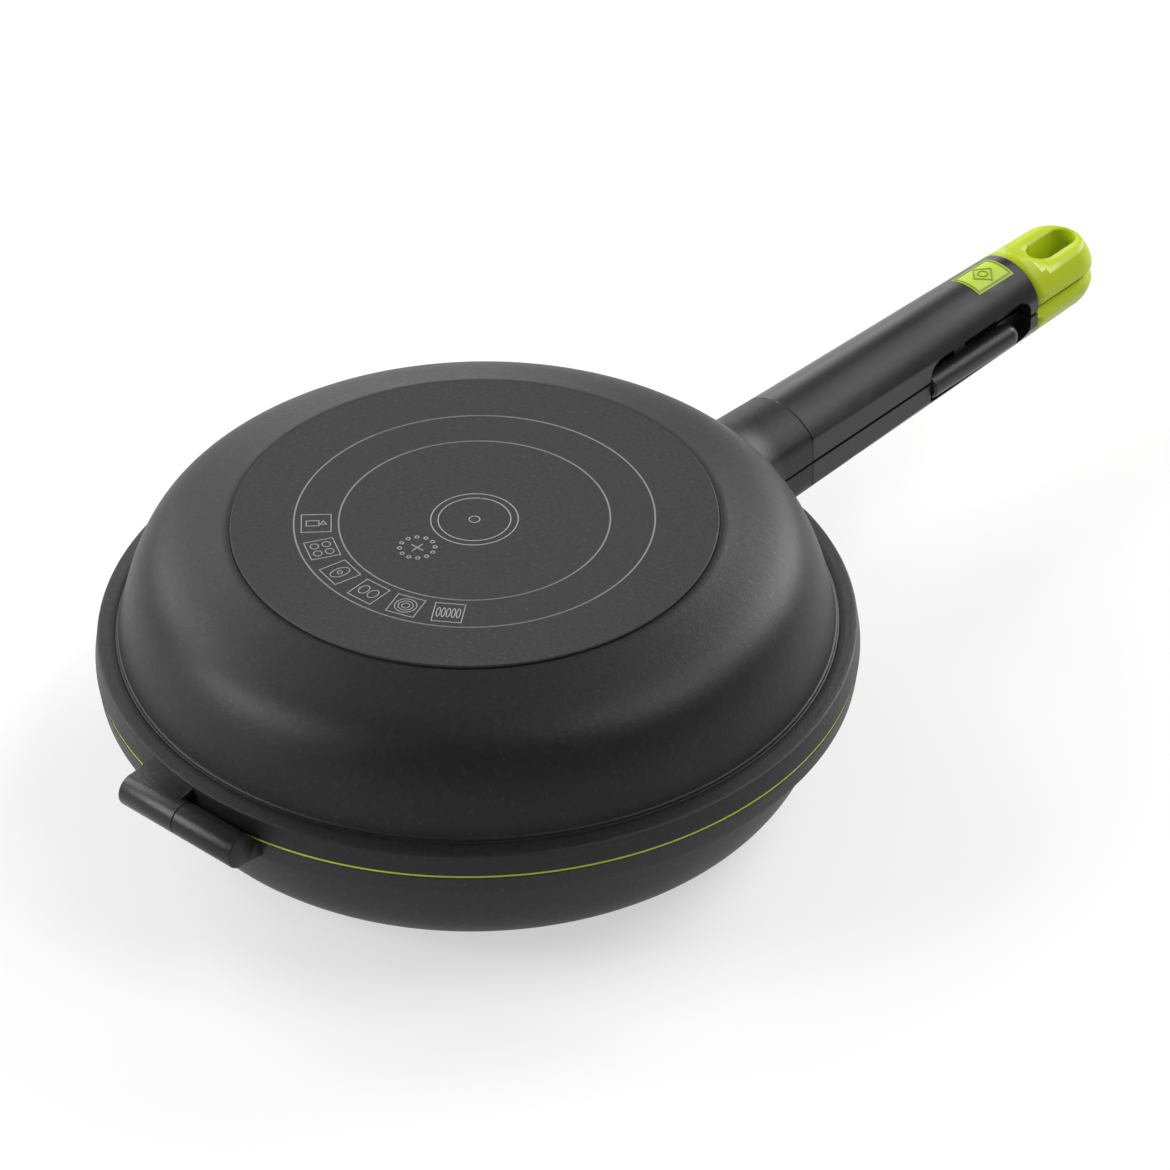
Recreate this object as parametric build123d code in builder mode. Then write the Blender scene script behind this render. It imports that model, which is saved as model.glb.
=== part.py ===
from build123d import *
import math
import os

# Double sided flip pan: two equal shallow pans on a two-knuckle hinge, shut rim to rim on a
# silicone seal, each with half of a round handle, and a swing latch on the handle's side.
# Millimetres. X runs along the hinge pin, +Y towards the handle, +Z up. The origin is the
# centre of the lower pan's resting face. The upper set is the lower one turned over about Y.

# ---- pan bodies -------------------------------------------------------------------------
half_height = 50.7           # resting face to split plane
opening_radius = 119.8
wall = 3.0
rim_width = 8.2              # how far the rim stands out of the wall
rim_draft = 1.0              # how far the rim band leans in over its height
rim_band = 7.9               # height of the rim band
ledge_drop = 1.4             # rise of the ledge from the band to the wall
floor_thick = 6.0            # casting and base plate together
base_radius = 84.6           # where the outer wall meets the base
knee_in = 8.7                # corner of wall and base slope, in from the foot of the wall
knee_up = 9.6                # and above the edge of the base
shoulder_round = 23.8
seal_gap = 0.7               # between the two rims
seal_width = 7.0
seal_inset = 0.3             # seal edge inside the rim edge
seal_rib = 2.0               # rib of the seal, width and depth alike

# ---- base plates ------------------------------------------------------------------------
plate_margin = 1.6           # casting round the plate
plate_thick = 2.0
plate_proud = 0.9            # plate face below the casting
plate_chamfer = 0.4
ring_radii = (46.0, 61.2)    # two engraved circles
ring_width = 0.5
ring_depth = 0.2

# ---- hinge ------------------------------------------------------------------------------
barrel_radius = 6.0
lower_knuckle = 27.0         # lengths of the two knuckles
upper_knuckle = 25.0
knuckle_gap = 0.3            # between them
hinge_shift = -4.4           # joint of the knuckles, aside from the handle's middle plane
hinge_clear = 0.4            # barrel to the other pan's rim
lug_depth = 8.3              # lug's flat below the split plane
lug_root = 1.3               # how far the lug runs into the wall
lug_short = 2.5              # lug ends this far before the joint of the knuckles
pin_radius = 2.5
pin_running = 0.05           # radial play in the turning knuckle
pin_short = 1.2              # pin end inside the open end of its bore
bore_end = 3.0               # closed end of the lower knuckle

# ---- handle -----------------------------------------------------------------------------
# sections where the boss starts, at the grip's front and where the tip turns round, each
# as half width, height of the flat side, height of the crown
boss_root = (17.6, 10.8, 19.2)
grip_front = (16.5, 9.7, 18.1)
cap_round = (14.8, 3.4, 16.3)
boss_inside = 27.0           # boss runs this far in from the rim's edge
pad_outside = 9.0            # and its halves meet this far out from it
boss_outside = 23.7          # rim's edge to the grip
grip_length = 125.3
cap_straight = 25.2          # cap seam to the middle of the round tip
handle_gap = 1.2             # between the two handle halves
pad_gap = 0.1                # between the two boss pads
ridge_round = 1.5            # where the round of the handle meets its flat sides
seam_chamfer = 0.35

# ---- tang and screws --------------------------------------------------------------------
tang_width = 14.0
tang_thick = 5.0
tang_inset = 0.5             # tang face below the grip's split face
tang_length = 32.0
tang_screw_ys = (9.0, 23.0)  # from the seam
screw_radius = 2.0
screw_play = 0.2             # hole in the tang round the shank
screw_head_radius = 3.6
screw_reach = 5.5            # shank beyond the tang
insert_radius = 3.4          # to the corners
insert_length = 7.0
tang_corner = 3.0

# ---- end cap ----------------------------------------------------------------------------
cap_gap = 0.6
cap_edge = 0.9               # bevel along the split
facet_height = 11.0          # flat round the hanging slot
scoop_start = 5.5            # from the cap seam
scoop_length = 6.0
slot_length = 22.0
slot_width = 10.2
slot_mid = 24.5              # from the cap seam
slot_edge = 0.6
spigot_width = 11.0
spigot_low = 3.5             # spigot faces, measured from the split plane
spigot_high = 10.0
spigot_length = 16.0
cap_screw_radius = 1.5
cap_screw_head_radius = 2.8
cap_screw_length = 8.0
cap_screw_back = 8.0         # from the cap seam

# ---- inlay plate ------------------------------------------------------------------------
inlay_width = 13.4
inlay_length = 19.0
inlay_back = 4.5             # from the cap seam
inlay_deep = 0.9
inlay_proud = 0.2

# ---- latch ----------------------------------------------------------------------------
recess_back = 64.8           # from the seam of boss and grip
recess_length = 56.3
recess_up = 8.0              # recess edge above the split plane, in the upper grip
recess_down = 8.8            # and below it, in the lower grip
recess_floor = 8.5           # distance of its floor from the handle's middle plane
recess_corner = 6.0
slide_radius = 4.5
slide_offset = 13.4          # slide's centre line from the handle's middle plane
slide_drop = 3.0             # and below the split plane
slide_travel = 7.5
slide_play = 0.3
slide_heel = 0.8
rail_drop = 5.0              # middle of the rail below the split plane
rail_neck = 2.0
rail_head = 4.4
rail_head_deep = 1.9
rail_deep = 4.2              # rail end inside the recess floor
rail_length = 20.0
rail_start = 6.5             # from the slide's fixed end
hook_start = 17.0            # from the slide's fixed end
hook_width = 6.0
hook_thick = 1.8
hook_offset = 9.9            # inner face of the hook's arm
hook_rise = 5.6              # hook's top above the split plane
hook_nose = 2.0              # height of the nose
catch_thick = 2.2            # steel catch, let into the upper grip's split face
catch_deep = 4.0             # width of the catch, inwards from the recess floor
catch_pocket = 2.2           # depth of the pocket behind the catch
catch_seat = 3.0             # how far the catch's end is let into the grip
catch_length = 10.5          # ends short of the hook once the slide is moved out

# ---- worked out -------------------------------------------------------------------------
over = 1.0                           # how far cutting shapes run past what they cut
z_split = half_height
ledge_radius = opening_radius + wall          # foot of the outer wall
rim_radius = ledge_radius + rim_width
plate_radius = base_radius - plate_margin
lug_inner = ledge_radius - lug_root
boss_root_y = rim_radius - boss_inside
pad_end_y = rim_radius + pad_outside
seam_y = rim_radius + boss_outside
cap_seam_y = seam_y + grip_length
tip_middle = cap_seam_y + cap_straight
tip_end = tip_middle + cap_round[0]
recess_start = seam_y + recess_back
hinge_y = -(rim_radius + hinge_clear + barrel_radius)
rim_face = seal_gap / 2
grip_face = handle_gap / 2
tang_face = grip_face + tang_inset
tang_back = tang_face + tang_thick
wall_top = rim_band + ledge_drop
casting_base = half_height - plate_proud
inner_floor = half_height - floor_thick
seal_middle = rim_radius - seal_inset - seal_width / 2
screw_places = [(0, seam_y + y) for y in tang_screw_ys]
cap_screw_y = cap_seam_y - cap_screw_back
inlay_start = cap_seam_y - inlay_back - inlay_length
slide_start = recess_start + slide_play
slide_length = recess_length - slide_travel - 2 * slide_play
hook_room = hook_width + slide_travel + 2 * over     # length of the hook's pocket
hook_room_start = slide_start + hook_start - over
catch_place = (recess_floor - catch_deep / 2, hook_room_start - catch_seat + catch_length / 2)
skin = spigot_low - grip_face        # grip between its split face and the spigot
countersink = 90.0
handle_axis = Axis((0, 0, z_split), (0, 1, 0))


def z_of(depth):
    """Height of a point that lies `depth` below the split plane."""
    return z_split - depth


def level(depth):
    """Horizontal plane at a depth below the split plane."""
    return Plane.XY.offset(z_of(depth))


def across(y):
    """Plane across the handle at y: its x is X, and its y is the depth below the split."""
    return Plane(origin=(0, y, z_split), x_dir=(1, 0, 0), z_dir=(0, 1, 0))


def section_at(y):
    """Half width, crown and middle of the handle's round at y; the last two are depths."""
    if y < seam_y:
        near, far, share = boss_root, grip_front, (y - boss_root_y) / (seam_y - boss_root_y)
    else:
        near, far, share = grip_front, cap_round, (y - seam_y) / (tip_middle - seam_y)
    sizes = []
    for half_width, side, crown in (near, far):
        arch = crown - side
        sizes.append((half_width, crown, crown - (half_width ** 2 + arch ** 2) / (2 * arch)))
    return [a + (b - a) * share for a, b in zip(*sizes)]


def half_round(start, end, face, grow=0.0):
    """One half of the handle between two places: a cone cut flat at both sides and the face."""
    width_a, crown_a, middle_a = section_at(start)
    width_b, crown_b, middle_b = section_at(end)
    with BuildPart() as half:
        with BuildSketch(Plane.YZ):
            with BuildLine():
                before, after = start - over, end + over
                crown_slope = (crown_b - crown_a) / (end - start)
                middle_slope = (middle_b - middle_a) / (end - start)
                Polyline(
                    (before, z_of(middle_a - middle_slope * over)),
                    (before, z_of(crown_a + grow - crown_slope * over)),
                    (after, z_of(crown_b + grow + crown_slope * over)),
                    (after, z_of(middle_b + middle_slope * over)),
                    close=True,
                )
            make_face()
        revolve(axis=Axis((0, start, z_of(middle_a)), (0, end - start, middle_a - middle_b)))
        with BuildSketch(level(face)):
            Polygon((-width_a - grow, start), (width_a + grow, start),
                    (width_b + grow, end), (-width_b - grow, end), align=None)
        extrude(amount=-2 * boss_root[2], mode=Mode.INTERSECT)
        crown = half.faces().filter_by(GeomType.CONE)
        fillet(crown.edges().filter_by(lambda edge: edge.length > (end - start) / 2
                                       and edge.geom_type != GeomType.ELLIPSE), ridge_round)
    return half.part


def make_pan(knuckle_start, knuckle_length, pin_bore, bore_length):
    """One cast pan, in the lower place: bowl, rim, hinge knuckle, handle boss and tang."""
    outer_knee = (ledge_radius - knee_in, z_of(casting_base - knee_up))
    inner_knee = (opening_radius - knee_in, z_of(casting_base - knee_up - wall))
    with BuildPart() as pan:
        # handle boss, run into the wall of the bowl
        add(half_round(boss_root_y, seam_y, pad_gap / 2))
        # the handle halves stand apart beyond the boss pads
        with BuildSketch(level(grip_face)):
            with Locations((0, (pad_end_y + seam_y) / 2)):
                Rectangle(3 * boss_root[0], seam_y - pad_end_y)
        extrude(amount=grip_face, mode=Mode.SUBTRACT)
        # tang that the grip is screwed to
        with BuildSketch(level(tang_back)) as tang:
            with Locations((0, seam_y + tang_length / 2)):
                Rectangle(tang_width, tang_length)
            fillet(tang.vertices().group_by(Axis.Y)[-1], tang_corner)
        extrude(amount=tang_thick)
        # hinge knuckle with its lug
        with BuildSketch(Plane.YZ.offset(knuckle_start)):
            with Locations((hinge_y, z_split)):
                Circle(barrel_radius)
        extrude(amount=knuckle_length)
        with BuildSketch(Plane.YZ.offset(knuckle_start + lug_short)):
            Polygon(
                (hinge_y, z_of(rim_face)),
                (hinge_y, z_of(barrel_radius)),
                (-lug_inner, z_of(lug_depth)),
                (-lug_inner, z_of(rim_face)),
                align=None,
            )
        extrude(amount=knuckle_length - lug_short)
        # outside of the bowl and rim
        with BuildSketch(Plane.XZ) as outside:
            Polygon(
                (0, z_of(casting_base)),
                (0, z_of(rim_face)),
                (rim_radius, z_of(rim_face)),
                (rim_radius - rim_draft, z_of(rim_band)),
                (ledge_radius, z_of(wall_top)),
                outer_knee,
                (base_radius, z_of(casting_base)),
                align=None,
            )
            fillet(outside.vertices().sort_by_distance(outer_knee)[0], shoulder_round)
        revolve(axis=Axis.Z)
        # inside of the bowl
        with BuildSketch(Plane.XZ) as inside:
            Polygon(
                (0, z_of(inner_floor)),
                (0, z_split + over),
                (opening_radius, z_split + over),
                (opening_radius, z_of(wall_top)),
                inner_knee,
                (base_radius - wall, z_of(inner_floor)),
                align=None,
            )
            fillet(inside.vertices().sort_by_distance(inner_knee)[0], shoulder_round - wall)
        revolve(axis=Axis.Z, mode=Mode.SUBTRACT)
        # room for the seal between the rims, also over the boss
        with BuildSketch(level(rim_face)):
            Circle(rim_radius)
        extrude(amount=rim_face, mode=Mode.SUBTRACT)
        # seat of the base plate
        with BuildSketch(level(casting_base)):
            Circle(plate_radius)
        extrude(amount=plate_thick - plate_proud, mode=Mode.SUBTRACT)
        # bore of the hinge pin
        with BuildSketch(Plane.YZ.offset(knuckle_start)):
            with Locations((hinge_y, z_split)):
                Circle(pin_bore)
        extrude(amount=bore_length, mode=Mode.SUBTRACT)
        # countersunk screw holes in the tang
        with Locations(level(tang_face)):
            with Locations(*screw_places):
                CounterSinkHole(screw_radius + screw_play, screw_head_radius,
                                depth=tang_thick, counter_sink_angle=countersink)
    return pan.part


def make_seal():
    """Silicone seal: a flat ring between the rims with a rib in the lower rim's groove."""
    with BuildPart() as seal:
        with BuildSketch(level(rim_face)):
            Circle(seal_middle + seal_width / 2)
            Circle(seal_middle - seal_width / 2, mode=Mode.SUBTRACT)
        extrude(amount=seal_gap)
        with BuildSketch(level(rim_face)):
            Circle(seal_middle + seal_rib / 2)
            Circle(seal_middle - seal_rib / 2, mode=Mode.SUBTRACT)
        extrude(amount=-seal_rib)
    return seal.part


def make_base_plate():
    """Induction plate let into the underside, with two engraved circles."""
    with BuildPart() as plate:
        with BuildSketch(level(half_height)):
            Circle(plate_radius)
        extrude(amount=plate_thick)
        chamfer(plate.edges().group_by(Axis.Z)[0], plate_chamfer)
        with BuildSketch(level(half_height)):
            for radius in sorted(ring_radii, reverse=True):
                Circle(radius + ring_width / 2)
                Circle(radius - ring_width / 2, mode=Mode.SUBTRACT)
        extrude(amount=ring_depth, mode=Mode.SUBTRACT)
    return plate.part


def make_inlay(proud):
    """Curved plate on the crown of the grip, from its bed up to `proud` above the crown."""
    inlay_end = inlay_start + inlay_length
    with BuildPart() as inlay:
        add(half_round(inlay_start, inlay_end, 0, proud))
        with BuildSketch(level(0)):
            with Locations((0, inlay_start + inlay_length / 2)):
                Rectangle(inlay_width, inlay_length)
        extrude(amount=-2 * grip_front[2], mode=Mode.INTERSECT)
        add(half_round(inlay_start - over, inlay_end + over, 0, -inlay_deep),
            mode=Mode.SUBTRACT)
    return inlay.part


def insert_outline():
    """Six-sided outline of the inserts and of their seats."""
    with Locations(*screw_places):
        RegularPolygon(insert_radius, 6)


def make_grip(inlay_bed):
    """Half grip with its tang channel, insert seats, cap socket and inlay bed."""
    with BuildPart() as grip:
        add(half_round(seam_y, cap_seam_y, grip_face))
        ends = grip.faces().filter_by(Axis.Y)
        chamfer(ends.edges().filter_by(GeomType.LINE, reverse=True), seam_chamfer)
        # channel for the tang, open to the split face
        with BuildSketch(level(grip_face)) as channel:
            with Locations((0, seam_y + tang_length / 2)):
                Rectangle(tang_width, tang_length)
            fillet(channel.vertices().group_by(Axis.Y)[-1], tang_corner)
        extrude(amount=-(tang_back - grip_face), mode=Mode.SUBTRACT)
        # seats of the threaded inserts
        with BuildSketch(level(tang_back)):
            insert_outline()
        extrude(amount=-insert_length, mode=Mode.SUBTRACT)
        # socket of the cap's spigot
        with BuildSketch(across(cap_seam_y)):
            with Locations((0, (spigot_low + spigot_high) / 2)):
                Rectangle(spigot_width, spigot_high - spigot_low)
        extrude(amount=-spigot_length, mode=Mode.SUBTRACT)
        with Locations(level(grip_face)):
            with Locations((0, cap_screw_y)):
                CounterSinkHole(cap_screw_radius, cap_screw_head_radius, depth=skin,
                                counter_sink_angle=countersink)
        add(inlay_bed, mode=Mode.SUBTRACT)
    return grip.part


def make_end_cap():
    """Soft end cap: a round tip, the hanging slot in a flat, and a spigot for the grip."""
    half_width, side, crown = cap_round
    flat_start = cap_seam_y + scoop_start
    with BuildPart() as cap:
        add(half_round(cap_seam_y, tip_middle, cap_gap / 2))
        # tip turned from half of the end section
        end_section = cap.faces().sort_by(Axis.Y)[-1]
        half_section = split(end_section, bisect_by=Plane.YZ, mode=Mode.PRIVATE)
        revolve(half_section, axis=Axis((0, tip_middle, 0), (0, 0, 1)), revolution_arc=180)
        # flat round the slot, reached by a scoop
        with BuildSketch(Plane.YZ):
            with BuildLine():
                ThreePointArc(
                    (flat_start, z_of(crown + over)),
                    (flat_start + scoop_length / 2, z_of(facet_height + 2 * over)),
                    (flat_start + scoop_length, z_of(facet_height)),
                )
                Polyline(
                    (flat_start + scoop_length, z_of(facet_height)),
                    (tip_end + over, z_of(facet_height)),
                    (tip_end + over, z_of(crown + over)),
                    (flat_start, z_of(crown + over)),
                )
            make_face()
        extrude(amount=half_width + over, both=True, mode=Mode.SUBTRACT)
        # bevel along the split
        split_face = cap.faces().filter_by(Axis.Z).sort_by(Axis.Z)[-1]
        seam_edge = split_face.edges().sort_by(Axis.Y)[0]
        chamfer(split_face.edges() - [seam_edge], cap_edge)
        # hanging slot
        with BuildSketch(level(0)):
            with Locations((0, cap_seam_y + slot_mid)):
                SlotOverall(slot_length, slot_width, rotation=90)
        extrude(amount=-2 * crown, mode=Mode.SUBTRACT)
        flat = cap.faces().filter_by(Axis.Z).sort_by(Axis.Z)[0]
        chamfer(flat.inner_wires()[0].edges(), slot_edge)
        # spigot and its screw hole
        with BuildSketch(across(cap_seam_y)):
            with Locations((0, (spigot_low + spigot_high) / 2)):
                Rectangle(spigot_width, spigot_high - spigot_low)
        extrude(amount=-spigot_length)
        with Locations(level(spigot_low)):
            with Locations((0, cap_screw_y)):
                Hole(cap_screw_radius, depth=cap_screw_length - skin)
    return cap.part


def make_screws(places, face, radius, head_radius, length):
    """Countersunk screws with their heads up, flush with a face at a depth."""
    head_depth = (head_radius - radius) / math.tan(math.radians(countersink / 2))
    with BuildPart() as one:
        with BuildSketch(Plane.XZ):
            Polygon((0, 0), (head_radius, 0), (radius, -head_depth), (radius, -length),
                    (0, -length), align=None)
        revolve(axis=Axis.Z)
    with BuildPart() as screws:
        with Locations(*[(x, y, z_of(face)) for x, y in places]):
            add(one.part)
    return screws.part


def make_inserts():
    """Threaded inserts of the grip, one for each tang screw."""
    with BuildPart() as inserts:
        with BuildSketch(level(tang_back)):
            insert_outline()
            with Locations(*screw_places):
                Circle(screw_radius, mode=Mode.SUBTRACT)
        extrude(amount=-insert_length)
    return inserts.part


def rail_outline(play):
    """T-shaped rail of the slide, drawn across the handle with play all round."""
    with Locations((recess_floor - rail_deep / 2 + over, rail_drop)):
        Rectangle(rail_deep + 2 * over, rail_neck + 2 * play)
    with Locations((recess_floor - rail_deep + rail_head_deep / 2, rail_drop)):
        Rectangle(rail_head_deep + 2 * play, rail_head + 2 * play)


# ---- pieces of the lower body -----------------------------------------------------------
os.makedirs("parts", exist_ok=True)
plain_grip = make_grip(make_inlay(over))

with BuildPart() as lower_pan:
    lower_start = hinge_shift + knuckle_gap / 2
    add(make_pan(lower_start, lower_knuckle, pin_radius, lower_knuckle - bore_end))
    # groove for the seal's rib
    with BuildSketch(level(rim_face)):
        Circle(seal_middle + seal_rib / 2)
        Circle(seal_middle - seal_rib / 2, mode=Mode.SUBTRACT)
    extrude(amount=-seal_rib, mode=Mode.SUBTRACT)

with BuildPart() as lower_base_plate:
    add(make_base_plate())

with BuildPart() as seal_ring:
    add(make_seal())

with BuildPart() as hinge_pin:
    pin_start = hinge_shift - knuckle_gap / 2 - upper_knuckle + pin_short
    with BuildSketch(Plane.YZ.offset(pin_start)):
        with Locations((hinge_y, z_split)):
            Circle(pin_radius)
    extrude(amount=lower_start + lower_knuckle - bore_end - pin_start)

with BuildPart() as lower_grip:
    add(plain_grip)
    with BuildSketch(Plane.YZ.offset(recess_floor)) as low_recess:
        with Locations((recess_start + recess_length / 2, z_of((recess_down - over) / 2))):
            Rectangle(recess_length, recess_down + over)
        fillet(low_recess.vertices().group_by(Axis.Y)[0].sort_by(Axis.X)[-1], recess_corner)
    extrude(amount=grip_front[0], mode=Mode.SUBTRACT)
    with BuildSketch(across(slide_start + rail_start - slide_play)):
        rail_outline(slide_play)
    extrude(amount=rail_length + slide_travel + 2 * slide_play, mode=Mode.SUBTRACT)

with BuildPart() as lower_grip_inserts:
    add(make_inserts())

with BuildPart() as lower_tang_screws:
    add(make_screws(screw_places, tang_face, screw_radius, screw_head_radius,
                    tang_thick + screw_reach))

with BuildPart() as lower_inlay:
    add(make_inlay(inlay_proud))

with BuildPart() as lower_end_cap:
    add(make_end_cap())

with BuildPart() as lower_cap_screw:
    add(make_screws([(0, cap_screw_y)], grip_face, cap_screw_radius, cap_screw_head_radius,
                    cap_screw_length))

with BuildPart() as latch_slide:
    # round bar with a blunt heel and a round tip
    with BuildSketch(across(slide_start)):
        with Locations((slide_offset, slide_drop)):
            Circle(slide_radius)
    extrude(amount=slide_length - slide_radius)
    chamfer(latch_slide.faces().sort_by(Axis.Y)[0].edges(), slide_heel)
    with Locations((slide_offset, slide_start + slide_length - slide_radius, z_of(slide_drop))):
        Sphere(slide_radius)
    # rail that runs in the grip
    with BuildSketch(across(slide_start + rail_start)):
        rail_outline(0)
    extrude(amount=rail_length)
    # hook that reaches into the upper grip
    with BuildSketch(across(slide_start + hook_start)):
        Polygon(
            (hook_offset, slide_drop),
            (hook_offset, hook_nose - hook_rise),
            (recess_floor + slide_play, hook_nose - hook_rise),
            (hook_offset, -hook_rise),
            (hook_offset + hook_thick, -hook_rise),
            (hook_offset + hook_thick, slide_drop),
            align=None,
        )
    extrude(amount=hook_width)

# ---- pieces of the upper body: the lower ones turned over about the handle's axis --------
with BuildPart() as upper_pan:
    casting = make_pan(knuckle_gap / 2 - hinge_shift, upper_knuckle, pin_radius + pin_running,
                       upper_knuckle)
    add(casting.rotate(handle_axis, 180))

with BuildPart() as upper_base_plate:
    add(lower_base_plate.part.rotate(handle_axis, 180))

with BuildPart() as upper_grip:
    add(plain_grip.rotate(handle_axis, 180))
    with BuildSketch(Plane.YZ.offset(recess_floor)) as high_recess:
        with Locations((recess_start + recess_length / 2, z_of((over - recess_up) / 2))):
            Rectangle(recess_length, recess_up + over)
        fillet(high_recess.vertices().group_by(Axis.Y)[-1], recess_corner)
    extrude(amount=grip_front[0], mode=Mode.SUBTRACT)
    # seat of the catch, and the pocket behind it that the hook's nose runs in
    with BuildSketch(level(-grip_face)):
        with Locations(catch_place):
            Rectangle(catch_deep, catch_length)
    extrude(amount=catch_thick, mode=Mode.SUBTRACT)
    with BuildSketch(level(-grip_face)):
        with Locations((recess_floor, hook_room_start + hook_room / 2)):
            Rectangle(2 * catch_pocket, hook_room)
    extrude(amount=hook_rise - grip_face + over, mode=Mode.SUBTRACT)

with BuildPart() as catch_plate:
    with BuildSketch(level(-grip_face)):
        with Locations(catch_place):
            Rectangle(catch_deep, catch_length)
    extrude(amount=catch_thick)

with BuildPart() as upper_grip_inserts:
    add(lower_grip_inserts.part.rotate(handle_axis, 180))

with BuildPart() as upper_tang_screws:
    add(lower_tang_screws.part.rotate(handle_axis, 180))

with BuildPart() as upper_inlay:
    add(lower_inlay.part.rotate(handle_axis, 180))

with BuildPart() as upper_end_cap:
    add(lower_end_cap.part.rotate(handle_axis, 180))

with BuildPart() as upper_cap_screw:
    add(lower_cap_screw.part.rotate(handle_axis, 180))

# ---- one file for each piece ------------------------------------------------------------
PIECES = {
    "lower_pan": lower_pan,
    "lower_base_plate": lower_base_plate,
    "seal_ring": seal_ring,
    "hinge_pin": hinge_pin,
    "lower_grip": lower_grip,
    "lower_grip_inserts": lower_grip_inserts,
    "lower_tang_screws": lower_tang_screws,
    "lower_inlay": lower_inlay,
    "lower_end_cap": lower_end_cap,
    "lower_cap_screw": lower_cap_screw,
    "latch_slide": latch_slide,
    "upper_pan": upper_pan,
    "upper_base_plate": upper_base_plate,
    "upper_grip": upper_grip,
    "catch_plate": catch_plate,
    "upper_grip_inserts": upper_grip_inserts,
    "upper_tang_screws": upper_tang_screws,
    "upper_inlay": upper_inlay,
    "upper_end_cap": upper_end_cap,
    "upper_cap_screw": upper_cap_screw,
}
for name, piece in PIECES.items():
    piece.part.label = name
    export_step(piece.part, "parts/" + name + ".step")
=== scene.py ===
"""Looks of the double sided flip pan: two hinged pans, a split round handle and its latch."""
import math

import bmesh
import bpy
from mathutils import Matrix, Vector


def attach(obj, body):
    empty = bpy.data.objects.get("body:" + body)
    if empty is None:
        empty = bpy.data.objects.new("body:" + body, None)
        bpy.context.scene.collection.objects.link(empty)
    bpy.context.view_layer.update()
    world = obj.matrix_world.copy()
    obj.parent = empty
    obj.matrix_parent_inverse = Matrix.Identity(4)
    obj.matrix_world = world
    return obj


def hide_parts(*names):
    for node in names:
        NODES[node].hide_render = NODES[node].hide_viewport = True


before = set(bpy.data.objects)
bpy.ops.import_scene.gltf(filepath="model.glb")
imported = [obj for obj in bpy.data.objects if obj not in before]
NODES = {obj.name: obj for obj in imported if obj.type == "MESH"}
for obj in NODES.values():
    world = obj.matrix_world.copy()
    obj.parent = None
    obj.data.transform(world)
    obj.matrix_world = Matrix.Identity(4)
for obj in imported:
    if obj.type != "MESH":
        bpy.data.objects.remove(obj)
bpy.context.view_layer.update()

# ---- camera, stage and light --------------------------------------------------------------
CAMERA_PLACE = (1.4444, -1.4720, 1.5871)
CAMERA_RIGHT = Vector((0.7333, 0.6797, -0.0143))
CAMERA_UP = Vector((-0.3939, 0.4420, 0.8059))
CAMERA_LENS = 231.0                       # millimetres, as the sensor's width
CAMERA_SENSOR = 36.0
CAMERA_REACH = 20.0
FLOOR_SIZE = 30.0
FLOOR_DROP = 0.0001                       # clear of the base's face
FLOOR_GLOW = 0.57                         # share of the floor's look that is its own light
FILL_LIGHT = 0.22
# soft boxes: place, what each looks at, size and watts
LAMPS = {
    "left_box": ((-2.8, 0.0, 1.7), (0, 0, 0.05), 1.8, 52.0),
    "right_box": ((0.0, 3.1, 1.5), (0, 0.1, 0.05), 1.8, 84.0),
    "low_back_box": ((-2.4, 2.0, 0.9), (0, 0.1, 0.05), 1.2, 12.0),
    "low_front_box": ((-1.9, -2.3, 1.5), (0, -0.1, 0.05), 1.7, 76.0),
    "high_box": ((1.5, 1.1, 2.5), (0, 0.0, 0.05), 1.8, 38.0),
}


def aimed(place, target):
    """Matrix of a lamp that stands at a place and looks at a target."""
    back = (Vector(place) - Vector(target)).to_track_quat("Z", "Y")
    return Matrix.Translation(place) @ back.to_matrix().to_4x4()


def add_camera():
    """Long lens from above and to one side of the handle."""
    bpy.ops.object.camera_add()
    camera = bpy.context.object
    camera.name = "camera"
    right = CAMERA_RIGHT.normalized()
    back = right.cross(CAMERA_UP).normalized()
    turn = Matrix((right, back.cross(right), back)).transposed()
    camera.matrix_world = Matrix.Translation(CAMERA_PLACE) @ turn.to_4x4()
    camera.data.lens = CAMERA_LENS
    camera.data.sensor_width = CAMERA_SENSOR
    camera.data.clip_end = CAMERA_REACH
    bpy.context.scene.camera = camera


def add_lamp(name, place, target, size, watts):
    """Square soft box."""
    bpy.ops.object.light_add(type="AREA")
    lamp = bpy.context.object
    lamp.name = name
    lamp.data.size = size
    lamp.data.energy = watts
    lamp.matrix_world = aimed(place, target)


# ---- node trees ---------------------------------------------------------------------------
class Tree:
    """A node tree that is filled one node at a time."""

    def __init__(self, tree):
        """Wraps the tree of a material or a group."""
        self.tree = tree

    def add(self, kind, feeds=None, **settings):
        """Adds a node; feeds maps an input to a value or to another node's output."""
        node = self.tree.nodes.new(kind)
        for key, value in settings.items():
            setattr(node, key, value)
        for key, value in (feeds or {}).items():
            if isinstance(value, bpy.types.NodeSocket):
                self.link(value, node.inputs[key])
            else:
                node.inputs[key].default_value = value
        return node

    def link(self, output, target):
        """Joins an output to an input."""
        self.tree.links.new(output, target)

    def math(self, operation, a, b=0.0, c=0.0):
        """Output of a math node."""
        node = self.add("ShaderNodeMath", {0: a, 1: b, 2: c}, operation=operation)
        return node.outputs[0]

    def ramp(self, value, low, high, to_low=0.0, to_high=1.0):
        """A value stretched between two limits and held there."""
        node = self.add("ShaderNodeMapRange", {
            "Value": value, "From Min": low, "From Max": high,
            "To Min": to_low, "To Max": to_high}, clamp=True)
        return node.outputs[0]

    def mix(self, share, a, b):
        """Two colours mixed by a share."""
        node = self.add("ShaderNodeMix", data_type="RGBA")
        for key, value in (("Factor_Float", share), ("A_Color", a), ("B_Color", b)):
            socket = next(s for s in node.inputs if s.identifier == key)
            if isinstance(value, bpy.types.NodeSocket):
                self.link(value, socket)
            else:
                socket.default_value = value
        return next(s for s in node.outputs if s.identifier == "Result_Color")


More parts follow.
